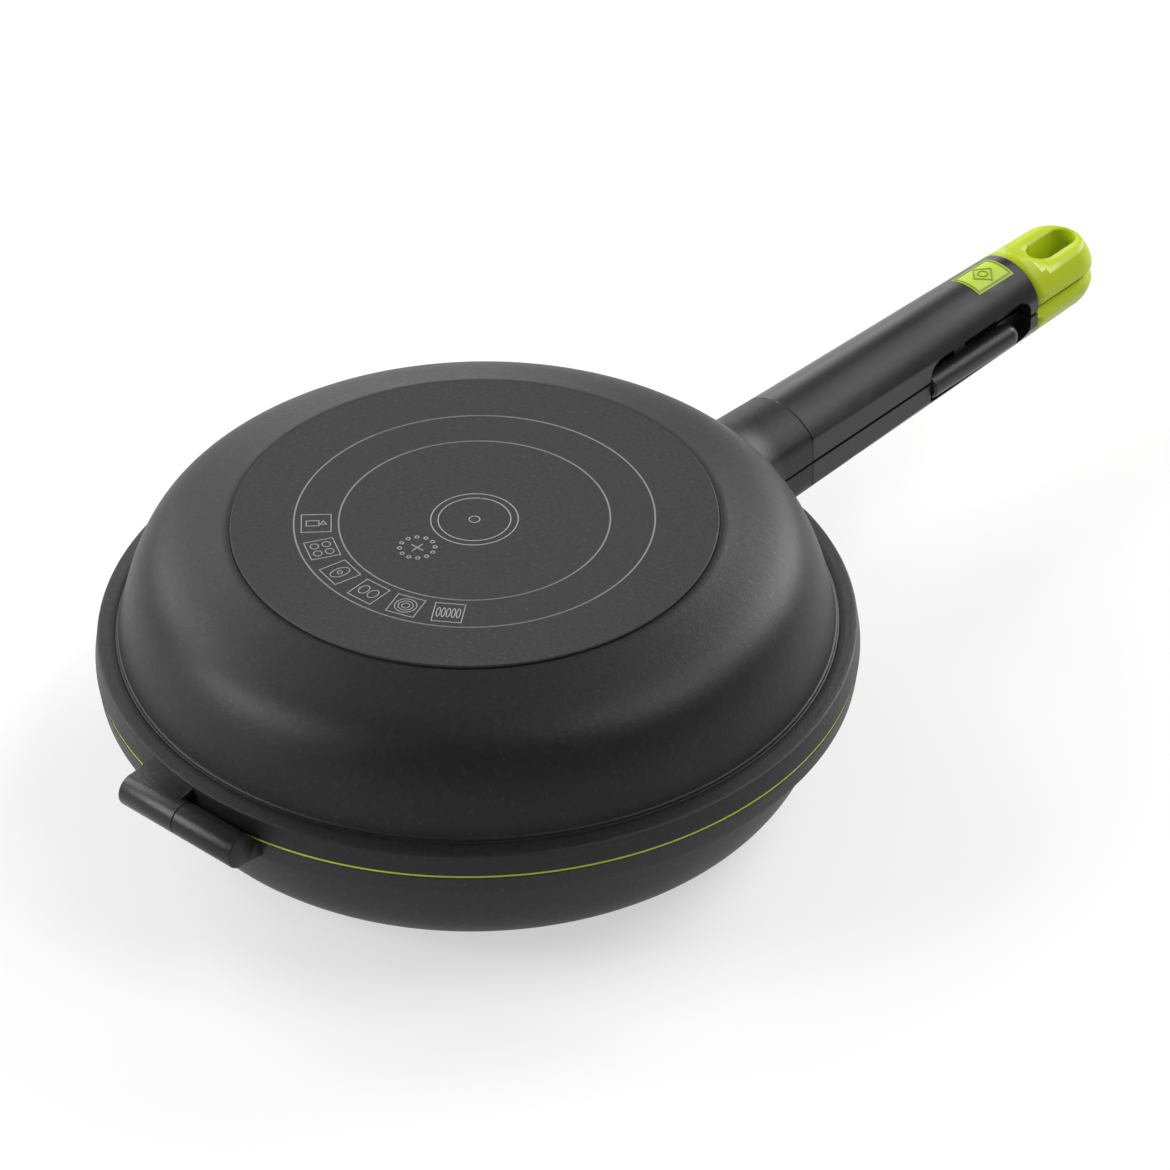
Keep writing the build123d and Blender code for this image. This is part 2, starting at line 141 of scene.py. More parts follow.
def new_group(name, values, results):
    """Empty node group with float inputs and outputs."""
    group = bpy.data.node_groups.new(name, "ShaderNodeTree")
    for key, default in values.items():
        socket = group.interface.new_socket(key, in_out="INPUT", socket_type="NodeSocketFloat")
        socket.default_value = default
    for key in results:
        group.interface.new_socket(key, in_out="OUTPUT", socket_type="NodeSocketFloat")
    tree = Tree(group)
    inside = tree.add("NodeGroupInput")
    outside = tree.add("NodeGroupOutput")
    return tree, inside.outputs, outside.inputs


def noise(tree, place, scale, detail=2.0, roughness=0.5):
    """Value of a noise texture."""
    node = tree.add("ShaderNodeTexNoise", {
        "Vector": place, "Scale": scale, "Detail": detail, "Roughness": roughness})
    return node.outputs[0]


def make_speckle_group():
    """Fine light and dark specks of a sprayed coating, and the height of its grain."""
    tree, given, out = new_group(
        "sprayed_speckle", {"Scale": 1200.0, "Spread": 0.5}, ("Light", "Dark", "Height"))
    place = tree.add("ShaderNodeTexCoord").outputs["Object"]
    fine = noise(tree, place, given["Scale"], detail=3.0, roughness=0.7)
    coarse = noise(tree, place, tree.math("MULTIPLY", given["Scale"], 0.31))
    both = tree.math("MULTIPLY_ADD", coarse, 0.45, tree.math("MULTIPLY", fine, 0.55))
    half = tree.math("MULTIPLY", given["Spread"], 0.1)
    light = tree.ramp(both, tree.math("ADD", 0.5, half), 0.66)
    dark = tree.ramp(both, tree.math("SUBTRACT", 0.5, half), 0.36)
    tree.link(light, out["Light"])
    tree.link(dark, out["Dark"])
    tree.link(both, out["Height"])
    return tree.tree


def make_handling_group():
    """Slow changes over the surface, as from handling and washing."""
    tree, given, out = new_group("handling", {"Scale": 18.0, "Contrast": 0.5}, ("Value",))
    place = tree.add("ShaderNodeTexCoord").outputs["Object"]
    broad = noise(tree, place, given["Scale"], detail=3.0, roughness=0.55)
    centred = tree.math("SUBTRACT", broad, 0.5)
    value = tree.math("MULTIPLY_ADD", centred, given["Contrast"], 0.5)
    tree.link(value, out["Value"])
    return tree.tree


def make_grain_group():
    """Spark-eroded grain of moulded plastic."""
    tree, given, out = new_group("moulded_grain", {"Scale": 2600.0}, ("Height", "Mask"))
    place = tree.add("ShaderNodeTexCoord").outputs["Object"]
    cells = tree.add("ShaderNodeTexVoronoi", {"Vector": place, "Scale": given["Scale"]})
    soft = noise(tree, place, tree.math("MULTIPLY", given["Scale"], 0.45), roughness=0.6)
    height = tree.math("MULTIPLY_ADD", cells.outputs["Distance"], 0.5, soft)
    tree.link(height, out["Height"])
    tree.link(tree.ramp(soft, 0.35, 0.65), out["Mask"])
    return tree.tree


def make_brush_group():
    """Fine turning or brushing lines along X."""
    tree, given, out = new_group("brushed_lines", {"Scale": 900.0}, ("Height", "Mask"))
    place = tree.add("ShaderNodeTexCoord").outputs["Object"]
    drawn = tree.add("ShaderNodeMapping", {"Vector": place, "Scale": (0.03, 1.0, 1.0)})
    lines = noise(tree, drawn.outputs[0], given["Scale"], detail=3.0, roughness=0.6)
    tree.link(lines, out["Height"])
    tree.link(tree.ramp(lines, 0.35, 0.65), out["Mask"])
    return tree.tree


SPECKLE = make_speckle_group()
HANDLING = make_handling_group()
GRAIN = make_grain_group()
BRUSH = make_brush_group()


def start_finish(name, **constants):
    """New material: its tree, its shader and the shader's plain numbers."""
    material = bpy.data.materials.new(name)
    material.use_nodes = True
    shader = material.node_tree.nodes["Principled BSDF"]
    for key, value in constants.items():
        shader.inputs[key.replace("_", " ")].default_value = value
    return material, Tree(material.node_tree), shader


def bumped(tree, shader, height, strength, distance):
    """Surface relief from a height."""
    node = tree.add("ShaderNodeBump", {
        "Strength": strength, "Distance": distance, "Height": height})
    tree.link(node.outputs[0], shader.inputs["Normal"])


def grey(value):
    """Colour with three equal parts."""
    return (value, value, value, 1.0)


def coating(name, body, light, dark, scale, rough, rings=(), rubbed=None):
    """Sprayed non-stick coating: dark with fine specks, orange peel and worn patches.

    rings are the radii of circles cut through it, and rubbed is the place along Y in front
    of which it is smoother, and by how much.
    """
    material, tree, shader = start_finish(name, IOR=1.38)
    specks = tree.add("ShaderNodeGroup", {"Scale": scale}, node_tree=SPECKLE)
    slow = tree.add("ShaderNodeGroup", {"Scale": 16.0, "Contrast": 0.8}, node_tree=HANDLING)
    colour = tree.mix(specks.outputs["Light"], grey(body), grey(light))
    colour = tree.mix(specks.outputs["Dark"], colour, grey(dark))
    aged = tree.mix(tree.ramp(slow.outputs["Value"], 0.3, 0.7, 0.0, 0.22), colour,
                    grey(body * WORN_LIGHTER))
    if rings:
        aged = tree.mix(ring_mask(tree, rings), aged, grey(ETCHED))
    tree.link(aged, shader.inputs["Base Color"])
    gloss = tree.math("MULTIPLY_ADD", slow.outputs["Value"], 0.12, rough)
    gloss = tree.math("MULTIPLY_ADD", specks.outputs["Light"], -0.08, gloss)
    if rubbed:
        edge, drop = rubbed
        place = tree.add("ShaderNodeTexCoord").outputs["Object"]
        ahead = tree.add("ShaderNodeSeparateXYZ", {0: place}).outputs["Y"]
        gloss = tree.math("MULTIPLY_ADD", tree.ramp(ahead, edge + RUB_FADE, edge), -drop, gloss)
    tree.link(gloss, shader.inputs["Roughness"])
    bumped(tree, shader, specks.outputs["Height"], strength=0.6, distance=0.0002)
    return material


def ring_mask(tree, radii):
    """Mask of the circles cut round the middle of a base plate."""
    place = tree.add("ShaderNodeTexCoord").outputs["Object"]
    level = tree.add("ShaderNodeVectorMath", {0: place, 1: (1.0, 1.0, 0.0)},
                     operation="MULTIPLY")
    radius = tree.add("ShaderNodeVectorMath", {0: level.outputs[0]}, operation="LENGTH")
    near = [tree.math("ABSOLUTE", tree.math("SUBTRACT", radius.outputs["Value"], r))
            for r in radii]
    return tree.ramp(tree.math("MINIMUM", *near), *RING_EDGE)


def moulded(name, colour, worn, rough, **constants):
    """Moulded plastic with a fine grain and slow changes of colour and gloss."""
    material, tree, shader = start_finish(name, **constants)
    grain = tree.add("ShaderNodeGroup", {"Scale": 2600.0}, node_tree=GRAIN)
    slow = tree.add("ShaderNodeGroup", {"Scale": 30.0, "Contrast": 0.9}, node_tree=HANDLING)
    shade = tree.mix(tree.ramp(slow.outputs["Value"], 0.3, 0.7, 0.0, 0.5), colour, worn)
    shade = tree.mix(tree.math("MULTIPLY", grain.outputs["Mask"], 0.25), shade, worn)
    tree.link(shade, shader.inputs["Base Color"])
    gloss = tree.math("MULTIPLY_ADD", slow.outputs["Value"], 0.14, rough)
    tree.link(gloss, shader.inputs["Roughness"])
    bumped(tree, shader, grain.outputs["Height"], strength=0.2, distance=0.0001)
    return material


def metal(name, colour, worn, rough):
    """Brushed or turned metal."""
    material, tree, shader = start_finish(name, Metallic=1.0)
    lines = tree.add("ShaderNodeGroup", {"Scale": 1500.0}, node_tree=BRUSH)
    slow = tree.add("ShaderNodeGroup", {"Scale": 60.0, "Contrast": 0.9}, node_tree=HANDLING)
    shade = tree.mix(lines.outputs["Mask"], colour, worn)
    tree.link(shade, shader.inputs["Base Color"])
    gloss = tree.math("MULTIPLY_ADD", slow.outputs["Value"], 0.2, rough)
    tree.link(gloss, shader.inputs["Roughness"])
    bumped(tree, shader, lines.outputs["Height"], strength=0.15, distance=0.0001)
    return material


WORN_LIGHTER = 1.35                       # worn coating beside new
ETCHED = 0.32                             # grey of the marks and circles
# sizes in metres, as the shaders have them
RUBBED_FROM, RUB_FADE = -0.1315, 0.001    # along Y, where the knuckles begin
RINGS = (0.046, 0.0612)
RING_EDGE = (0.00030, 0.00026)            # from its middle, where a ring begins and is full
COATING = coating("pan_coating", body=0.008, light=0.019, dark=0.004, scale=1500.0, rough=0.4,
                  rubbed=(RUBBED_FROM, 0.15))
BASE = coating("base_coating", body=0.017, light=0.040, dark=0.009, scale=2100.0, rough=0.46,
               rings=RINGS)
MARKS = coating("etched_marks", body=ETCHED, light=0.36, dark=0.16, scale=2600.0, rough=0.45)
SEAL = moulded("seal_silicone", (0.42, 0.55, 0.02, 1.0), (0.50, 0.62, 0.06, 1.0), 0.45)
GRIP = moulded("grip_plastic", grey(0.012), grey(0.018), 0.27, IOR=1.42)
LATCH = moulded("latch_plastic", grey(0.010), grey(0.016), 0.34)
LIME = moulded("lime_plastic", (0.39, 0.49, 0.005, 1.0), (0.43, 0.53, 0.01, 1.0), 0.3,
               IOR=1.38)
LIME_PLATE = moulded("lime_plate", (0.36, 0.50, 0.02, 1.0), (0.42, 0.56, 0.04, 1.0), 0.4)
RELIEF_LIME = moulded("lime_relief", (0.17, 0.23, 0.003, 1.0), (0.22, 0.28, 0.006, 1.0), 0.4)
STEEL = metal("steel", (0.55, 0.55, 0.54, 1.0), (0.66, 0.66, 0.65, 1.0), 0.22)
BRASS = metal("brass", (0.62, 0.45, 0.18, 1.0), (0.74, 0.56, 0.26, 1.0), 0.28)

FINISH_OF = {"seal_ring": SEAL, "hinge_pin": STEEL, "catch_plate": STEEL, "latch_slide": LATCH}
FINISH_OF_HALF = {
    "pan": COATING, "base_plate": BASE, "grip": GRIP, "end_cap": LIME, "inlay": LIME_PLATE,
    "grip_inserts": BRASS, "tang_screws": STEEL, "cap_screw": STEEL,
}
for node, finish in FINISH_OF_HALF.items():
    FINISH_OF.update({f"lower_{node}": finish, f"upper_{node}": finish})
for name, finish in FINISH_OF.items():
    for slot in NODES[name].material_slots:
        slot.material = finish


# ---- sizes of the new pieces, in millimetres; depth runs down from the split plane ---------
SPLIT = 50.7
RIM_FACE = 0.35
RIM = (131.0, 130.0, 7.9)                 # radius at the split, at its foot, and its depth
WALL_FOOT = (122.8, 9.3)                  # radius and depth, as for every outline here
WALL_CURVE = (WALL_FOOT, (115.16, 43.93), (109.05, 42.1), (84.6, 49.8))
WALL_STEPS = 44
WALL_START = 10.6                         # depth at which the bead gives way to the wall
# bead at the foot of the wall, the groove beside it, and the rim's outside
BEAD = ((122.6, 10.2), (122.92, 10.05), (123.18, 9.8), (123.28, 9.45), (123.3, 9.0))
FOOT_GROOVE = ((123.6, 8.85), (124.0, 8.93), (124.4, 8.99))
RIM_OUTSIDE = ((126.2, 8.64), (127.8, 8.33), (129.2, 8.06), (129.65, 7.92), (129.95, 7.7),
               (130.05, 7.3), (130.3, 5.3), (130.6, 3.1), (130.88, 1.0), (130.9, 0.6),
               (130.65, RIM_FACE))
OPENING_R = 119.8
LIP = ((120.3, RIM_FACE), (119.95, 0.45), (OPENING_R, 0.75), (OPENING_R, 5.0))
INNER_KNEE = (111.1, 37.2)
LIP_ROUND, KNEE_ROUND, FLOOR_ROUND = (14.0, 3), (20.8, 14), (12.0, 4)     # radius, steps
FLOOR = (81.6, 44.7)
PLATE_SEAT = (83.0, 48.7)
PLATE_EDGE = ((83.0, 49.55), (83.25, 49.8), (84.2, 49.8))
SEAL_GROOVE = (126.2, 128.2, 2.35)        # inner and outer radius, and its bottom
SPIN_STEPS = 256
HOLE_STEPS = 12.6                         # half width of the opening for the boss, in steps
HOLE_DEPTH = 40.0
SKIN = 0.7                                # how near the outside its faces lie
TOUCH = 0.01                              # what counts as lying on a face
BLEND = 18.5                              # reach of the round between boss and bowl
RIM_BLEND = 3.0                           # and between boss and rim
RIDGE = 1.6                               # round between the boss's crown and its sides
LEDGE_ROUND = 1.0
BLEND_RINGS = 22
# search for a point of the blend: spacing for its slope, pace, what will do, and tries
PROBE, PACE, SETTLED, TRIES = 0.02, 0.8, 0.0005, 30
# and for a point of the handle's section: a reach outside it, and how often it is halved
BEYOND, HALVINGS = 60.0, 40
BLEND_END, PAD_END, SEAM = 138.5, 140.0, 154.7
PAD_FACE, PAD_SIDE = 0.05, 0.6            # depths of the boss's two lowest points each side
SEAM_ROW = 7.0                            # a row between pad and seam, back from the seam
SEAM_EDGE = (0.25, 0.2)                   # bevel of the boss at the seam: along, and in
BOSS_ROOT = (104.0, 17.6, 10.8, 19.2)     # place, half width, side and crown of a section
GRIP_FRONT = (154.7, 16.5, 9.7, 18.1)
CAP_ROUND = (305.2, 14.8, 3.4, 16.3)
HINGE_Y = -137.4
BARREL = 6.0
BARREL_STEPS = 64
BARREL_END = (0.6, 0.17)                  # round of its free end, and where its middle lies
JOINT_BEVEL = 0.15                        # bevel of its end at the joint
LOWER_BARREL = (-4.25, 27.0, 2.5, 24.0)   # start, length, and the bore's radius and depth
UPPER_BARREL = (4.55, 25.0, 2.55, 25.0)
LUG = (121.5, 8.3, 2.5, 0.05)             # inner end, depth of its flat, short at each end
LUG_ROUND = 0.8
TANG = (14.0, 32.0, 1.1, 6.1)             # width, length, face and back
TANG_ROOT = 1.5                           # its end inside the boss
TANG_ROUND = 0.5
TANG_HOLE = (3.75, 2.2, 1.55)             # radius at the face and of the bore, and the cone
SCREW_PLACES = (163.7, 177.7)
TANG_SCREW = (1.1, 2.0, 3.6, 10.5, 1.45)  # head's depth, shank, head, length, socket
CAP_SCREW = (272.0, 0.6, 1.5, 2.8, 8.0, 1.1)      # place along the handle and the same
HEAD_BEVEL, TIP_BEVEL = 0.15, 0.4         # of a screw
SCREW_STEPS = 32
CAP_SEAM = 280.0
CAP_GAP = 0.3                             # cap's split face below the split
CAP_BEVEL = (2.0, 2.6)                    # in on the face, and down the side
CAP_SMOOTH = 36.0                         # edges flatter than this are shaded round
TIP_CUTS = 16
INLAY = (256.5, 19.0, 13.4, 0.2)          # place, length, width and height over the grip
RELIEF = 0.4
RELIEF_LINES = (0.7, 0.5)                 # widths of the border's line and the ornament's
RELIEF_MARGIN = 1.0                       # both margins of the border together
DIAMOND, RELIEF_RING = 7.0, 4.0
RELIEF_CUTS = 5
MARK_HEIGHT = 0.03
MARK_LINE, SIGN_LINE, CROSS_LINE = 0.35, 0.3, 0.2
CENTRE_RINGS = (30.0, 25.0, 4.0)          # widths
DIAL = (3.2, -24.6, 6.0)                  # middle and reach
DIAL_MARKS, DIAL_MARK = 12, 1.7
CROSS = (6.0, 0.1)                        # length, and width as a share of it
SIGN_R = 53.6
SIGN_SQUARE = 10.4
SIGN_START, SIGN_STEP = -44.2, 16.0       # turns in degrees
# signs of each square: out, aside, corners, width and squeeze of every line
SIGNS = (
    ((1.2, 0.0, 4, 4.6, 0.7), (-2.4, 0.0, 3, 3.2, 1.0)),
    ((2.1, 2.1, 24, 3.2, 1.0), (2.1, -2.1, 24, 3.2, 1.0),
     (-2.1, 2.1, 24, 3.2, 1.0), (-2.1, -2.1, 24, 3.2, 1.0)),
    ((0.0, 0.0, 32, 7.6, 0.6), (0.0, 0.0, 24, 2.0, 1.0)),
    ((0.0, 2.0, 24, 5.0, 0.7), (0.0, -2.0, 24, 5.0, 0.7)),
    ((0.0, 0.0, 40, 7.8, 1.0), (0.0, 0.0, 32, 5.4, 1.0), (0.0, 0.0, 24, 3.0, 1.0)),
    tuple((0.0, 1.7 * k, 24, 5.4, 0.28) for k in (-2, -1, 0, 1, 2)),
)


# ---- modelling helpers --------------------------------------------------------------------
def start_point(name, place):
    """New object in edit mode with one selected point."""
    bpy.ops.object.select_all(action="DESELECT")
    bpy.ops.mesh.primitive_plane_add(size=1.0)
    piece = bpy.context.object
    piece.name = name
    bpy.ops.object.mode_set(mode="EDIT")
    bpy.ops.mesh.select_all(action="SELECT")
    bpy.ops.mesh.merge(type="CENTER")
    bpy.ops.transform.translate(value=place)
    return piece


def turned(name, outline, steps, centre, axis):
    """Spins an outline, drawn point by point, through a full turn."""
    piece = start_point(name, outline[0])
    for before, after in zip(outline, outline[1:]):
        step = [b - a for a, b in zip(before, after)]
        bpy.ops.mesh.extrude_region_move(TRANSFORM_OT_translate={"value": step})
    bpy.ops.mesh.select_all(action="SELECT")
    bpy.ops.mesh.spin(steps=steps, angle=2 * math.pi, center=centre, axis=axis)
    bpy.ops.mesh.select_all(action="SELECT")
    bpy.ops.mesh.remove_doubles(threshold=0.0005)
    bpy.ops.mesh.normals_make_consistent(inside=False)
    bpy.ops.object.mode_set(mode="OBJECT")
    return piece


def ring_outline(points):
    """Radius and depth pairs as places in the XZ plane."""
    return [(radius, 0.0, SPLIT - depth) for radius, depth in points]


def bezier(controls, steps):
    """Points of a cubic curve, both ends among them."""
    points = []
    for k in range(steps + 1):
        t = k / steps
        shares = ((1 - t) ** 3, 3 * t * (1 - t) ** 2, 3 * t * t * (1 - t), t ** 3)
        points.append(tuple(sum(s * c[axis] for s, c in zip(shares, controls))
                            for axis in range(2)))
    return points


def rounded(before, corner, after, radius, steps):
    """Points of the arc that rounds a corner."""
    corner, before, after = Vector(corner), Vector(before), Vector(after)
    a, b = (before - corner).normalized(), (after - corner).normalized()
    half = a.angle(b) / 2
    centre = corner + (a + b).normalized() * radius / math.sin(half)
    start = corner + a * radius / math.tan(half) - centre
    end = corner + b * radius / math.tan(half) - centre
    sweep = start.angle_signed(end)
    points = []
    for k in range(steps + 1):
        turn = -sweep * k / steps
        points.append((centre.x + start.x * math.cos(turn) - start.y * math.sin(turn),
                       centre.y + start.x * math.sin(turn) + start.y * math.cos(turn)))
    return points


def joined(first, *others):
    """Makes one object of several."""
    bpy.ops.object.select_all(action="DESELECT")
    for piece in (first, *others):
        piece.select_set(True)
    bpy.context.view_layer.objects.active = first
    bpy.ops.object.join()
    return first


def with_modifier(piece, kind, **settings):
    """Adds a modifier and applies it."""
    bpy.ops.object.select_all(action="DESELECT")
    piece.select_set(True)
    bpy.context.view_layer.objects.active = piece
    modifier = piece.modifiers.new(kind.lower(), kind)
    for key, value in settings.items():
        setattr(modifier, key, value)
    bpy.ops.object.modifier_apply(modifier=modifier.name)


def cut(piece, cutter):
    """Takes a cutter away from a piece."""
    with_modifier(piece, "BOOLEAN", operation="DIFFERENCE", solver="EXACT", object=cutter)
    bpy.data.objects.remove(cutter)


def block(name, low, high):
    """Block between two corners."""
    bpy.ops.object.select_all(action="DESELECT")
    size = [b - a for a, b in zip(low, high)]
    centre = [(a + b) / 2 for a, b in zip(low, high)]
    bpy.ops.mesh.primitive_cube_add(size=1.0, location=centre, scale=size)
    piece = bpy.context.object
    piece.name = name
    bpy.ops.object.transform_apply()
    return piece


TURN_OVER = (Matrix.Translation((0, 0, SPLIT)) @ Matrix.Rotation(math.pi, 4, "Y")
             @ Matrix.Translation((0, 0, -SPLIT)))


def finish_piece(piece, body, finish, slot_name, *nodes, angle=32.0, over=False):
    """Scales a piece from millimetres, turns it over for the upper half, and rides it."""
    if over:
        piece.data.transform(TURN_OVER)
    piece.data.transform(Matrix.Scale(0.001, 4))
    piece.data.materials.clear()
    piece.data.materials.append(finish)
    bpy.ops.object.select_all(action="DESELECT")
    piece.select_set(True)
    bpy.context.view_layer.objects.active = piece
    bpy.ops.object.shade_smooth_by_angle(angle=math.radians(angle))
    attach(piece, body)
    if nodes:
        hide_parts(*nodes)


# ---- the pans -----------------------------------------------------------------------------
WALL_POINTS = bezier(WALL_CURVE, WALL_STEPS)


def pan_outline(grooved):
    """Half section of a pan: under the plate, up the bowl, over the rim and down inside."""
    points = [(0.0, PLATE_SEAT[1]), PLATE_SEAT, *PLATE_EDGE]
    points += [p for p in reversed(WALL_POINTS) if p[1] > WALL_START]
    points += [*BEAD, *FOOT_GROOVE, *RIM_OUTSIDE]
    if grooved:
        inner, outer, bottom = SEAL_GROOVE
        points += [(outer, RIM_FACE), (outer, bottom), (inner, bottom), (inner, RIM_FACE)]
    wall_top, middle = (OPENING_R, WALL_FOOT[1]), (0.0, FLOOR[1])
    points += LIP
    points += rounded(LIP[-1], wall_top, INNER_KNEE, *LIP_ROUND)
    points += rounded(wall_top, INNER_KNEE, FLOOR, *KNEE_ROUND)
    points += rounded(INNER_KNEE, FLOOR, middle, *FLOOR_ROUND)
    return points + [middle]


def smooth_min(a, b, reach):
    """The lesser of two distances, with a round of that reach where they meet."""
    share = max(0.0, min(1.0, 0.5 + 0.5 * (b - a) / reach))
    return b + (a - b) * share - reach * share * (1.0 - share)


def section_at(y):
    """Half width, crown and middle of the handle's round at y."""
    near, far = (BOSS_ROOT, GRIP_FRONT) if y < SEAM else (GRIP_FRONT, CAP_ROUND)
    share = (y - near[0]) / (far[0] - near[0])
    sizes = []
    for _, half_width, side, crown in (near, far):
        arch = crown - side
        sizes.append((half_width, crown, crown - (half_width ** 2 + arch ** 2) / (2 * arch)))
    return [a + (b - a) * share for a, b in zip(*sizes)]


def handle_distance(x, y, depth):
    """Distance from the outside of the handle's round."""
    half_width, crown, middle = section_at(y)
    arc = math.hypot(x, depth - middle) - (crown - middle)
    return -smooth_min(-arc, half_width - abs(x), RIDGE)


def wall_radius(depth):
    """Radius of the bowl's outside at a depth."""
    if depth <= WALL_FOOT[1]:
        return WALL_FOOT[0]
    for (r_a, d_a), (r_b, d_b) in zip(WALL_POINTS, WALL_POINTS[1:]):
        if depth <= d_b:
            return r_a + (r_b - r_a) * (depth - d_a) / (d_b - d_a)
    return WALL_POINTS[-1][0]


def wall_distance(x, y, depth):
    """Distance from the outside of the bowl."""
    return math.hypot(x, y) - wall_radius(depth)


def rim_distance(x, y, depth):
    """Distance from the outside of the rim."""
    radius = math.hypot(x, y)
    top, foot, deep = RIM
    band = radius - (top + (foot - top) * (depth - RIM_FACE) / (deep - RIM_FACE))
    slope = (WALL_FOOT[1] - deep) / (foot - WALL_FOOT[0])
    ledge = depth - (deep + (foot - radius) * slope)
    return -smooth_min(-band, -ledge, LEDGE_ROUND)


def blended(place, flat):
    """Moves a point on to the blend of bowl and boss; a flat one keeps its depth."""
    x, y, depth = place

    def distance(*place):
        """Distance from the outside of bowl, boss and rim together."""
        bowl = smooth_min(wall_distance(*place), handle_distance(*place), BLEND)
        return smooth_min(bowl, rim_distance(*place), RIM_BLEND)

    for _ in range(TRIES):
        here = distance(x, y, depth)
        slope = Vector((distance(x + PROBE, y, depth) - distance(x - PROBE, y, depth),
                        distance(x, y + PROBE, depth) - distance(x, y - PROBE, depth),
                        0.0 if flat else
                        distance(x, y, depth + PROBE) - distance(x, y, depth - PROBE)))
        slope /= 2 * PROBE
        if abs(here) < SETTLED or slope.length_squared < 1e-9:
            break
        move = slope * (-PACE * here / slope.length_squared)
        x, y, depth = x + move.x, y + move.y, depth + move.z
    return x, y, depth


def on_section(y, turn):
    """Point of the handle's section at y, seen from the middle at an angle."""
    low, high = 0.0, BEYOND
    for _ in range(HALVINGS):
        reach = (low + high) / 2
        if handle_distance(reach * math.cos(turn), y, reach * math.sin(turn)) < 0:
            low = reach
        else:
            high = reach
    return reach * math.cos(turn), y, reach * math.sin(turn)


def depth_of(point):
    """Depth of a point below the split plane."""
    return SPLIT - point.z


def open_bowl(mesh):
    """Deletes the faces where the boss comes.

    Gives the opening's edge from one side to the other, and the points between its ends on
    the rim's face.
    """
    limit = HOLE_STEPS * 2 * math.pi / SPIN_STEPS
    doomed = []
    for face in mesh.faces:
        middle = face.calc_center_median()
        depth = depth_of(middle)
        place = (middle.x, middle.y, depth)
        outside = abs(min(wall_distance(*place), rim_distance(*place))) < SKIN
        if (outside and RIM_FACE + TOUCH < depth < HOLE_DEPTH
                and abs(math.atan2(middle.x, middle.y)) < limit):
            doomed.append(face)
    bmesh.ops.delete(mesh, geom=doomed, context="FACES")
    rims = [e for e in mesh.edges if e.is_boundary]
    arc = {v for e in rims for v in e.verts if depth_of(v.co) < RIM_FACE + TOUCH}
    side = [e for e in rims if not (e.verts[0] in arc and e.verts[1] in arc)]
    near = {}
    for edge in side:
        for vert in edge.verts:
            near.setdefault(vert, []).append(edge.other_vert(vert))
    ends = sorted((v for v in near if len(near[v]) == 1), key=lambda v: -v.co.x)
    chain = [ends[0]]
    while chain[-1] is not ends[1]:
        chain.append(next(v for v in near[chain[-1]] if len(chain) < 2 or v is not chain[-2]))
    return chain, sorted(arc - {chain[0], chain[-1]}, key=lambda v: v.co.x)


def boss_section(y, turns, flat, inset=0.0):
    """Places of one row of the boss, matched to the opening point by point."""
    half_width, crown, _ = section_at(y)
    row = []
    for k, turn in enumerate(turns):
        x, _, depth = on_section(y, turn)
        if k in flat:
            x = math.copysign(half_width, x)
            depth = flat[k]
        row.append((x * (1 - inset / half_width), y, depth * (1 - inset / crown)))
    return row


def boss_rows(chain):
    """Places of the rows as far as the pad's end, and of those beyond it to the seam."""
    start = [(v.co.x, v.co.y, depth_of(v.co)) for v in chain]
    turns = [math.atan2(depth, x) for x, _, depth in start]
    last = len(chain) - 1
    flat = {0: PAD_FACE, 1: PAD_SIDE, last - 1: PAD_SIDE, last: PAD_FACE}
    goal = boss_section(BLEND_END, turns, flat)
    padded = []
    for ring in range(1, BLEND_RINGS):
        share = ring / BLEND_RINGS
        row = []
        for k, ends in enumerate(zip(start, goal)):
            place = [a + (b - a) * share for a, b in zip(*ends)]
            row.append(blended(place, k in flat))
        padded.append(row)
    padded += [goal, boss_section(PAD_END, turns, flat)]
    edge, inset = SEAM_EDGE
    beyond = [boss_section(SEAM - SEAM_ROW, turns, flat),
              boss_section(SEAM - edge, turns, flat),
              boss_section(SEAM, turns, flat, inset)]
    return padded, beyond


def add_boss(pan):
    """Opens the bowl where the handle starts and grows the boss out of it."""
    mesh = bmesh.new()
    mesh.from_mesh(pan.data)
    chain, arc = open_bowl(mesh)

    def add_row(places):
        """New points at the places of a row."""
        return [mesh.verts.new((x, y, SPLIT - depth)) for x, y, depth in places]

    padded, beyond = boss_rows(chain)
    pads = [chain] + [add_row(row) for row in padded]
    slots = [pads[-1][1:-1]] + [add_row(row[1:-1]) for row in beyond]
    for rows in (pads, slots):
        for row, following in zip(rows, rows[1:]):
            for k in range(len(row) - 1):
                mesh.faces.new((row[k], row[k + 1], following[k + 1], following[k]))
    # flat of the pad, its end, the slot beyond it and the face at the seam
    mesh.faces.new([row[0] for row in pads] + [row[-1] for row in reversed(pads)] + arc)
    pad = pads[-1]
    mesh.faces.new((pad[0], pad[1], pad[-2], pad[-1]))
    for row, following in zip(slots, slots[1:]):
        mesh.faces.new((row[0], following[0], following[-1], row[-1]))
    mesh.faces.new(slots[-1])
    bmesh.ops.recalc_face_normals(mesh, faces=mesh.faces)
    mesh.to_mesh(pan.data)
    mesh.free()


def make_barrel(start, length, bore, depth_of_bore):
    """Hinge barrel round the pin, bored through or blind."""
    def at(x, radius):
        """Place on the upper side of the barrel."""
        return (x, HINGE_Y, SPLIT + radius)

    end = start + length
    full, part = BARREL_END
    outline = [at(end, BARREL - full), at(end - part, BARREL - part), at(end - full, BARREL),
               at(start + JOINT_BEVEL, BARREL), at(start, BARREL - JOINT_BEVEL),
               at(start, bore)]
    if depth_of_bore < length:
        outline = ([at(end, 0.0)] + outline
                   + [at(start + depth_of_bore, bore), at(start + depth_of_bore, 0.0)])
    else:
        outline = [at(end, bore)] + outline + [at(end, bore)]
    return turned("barrel", outline, BARREL_STEPS, (0, HINGE_Y, SPLIT), (1, 0, 0))


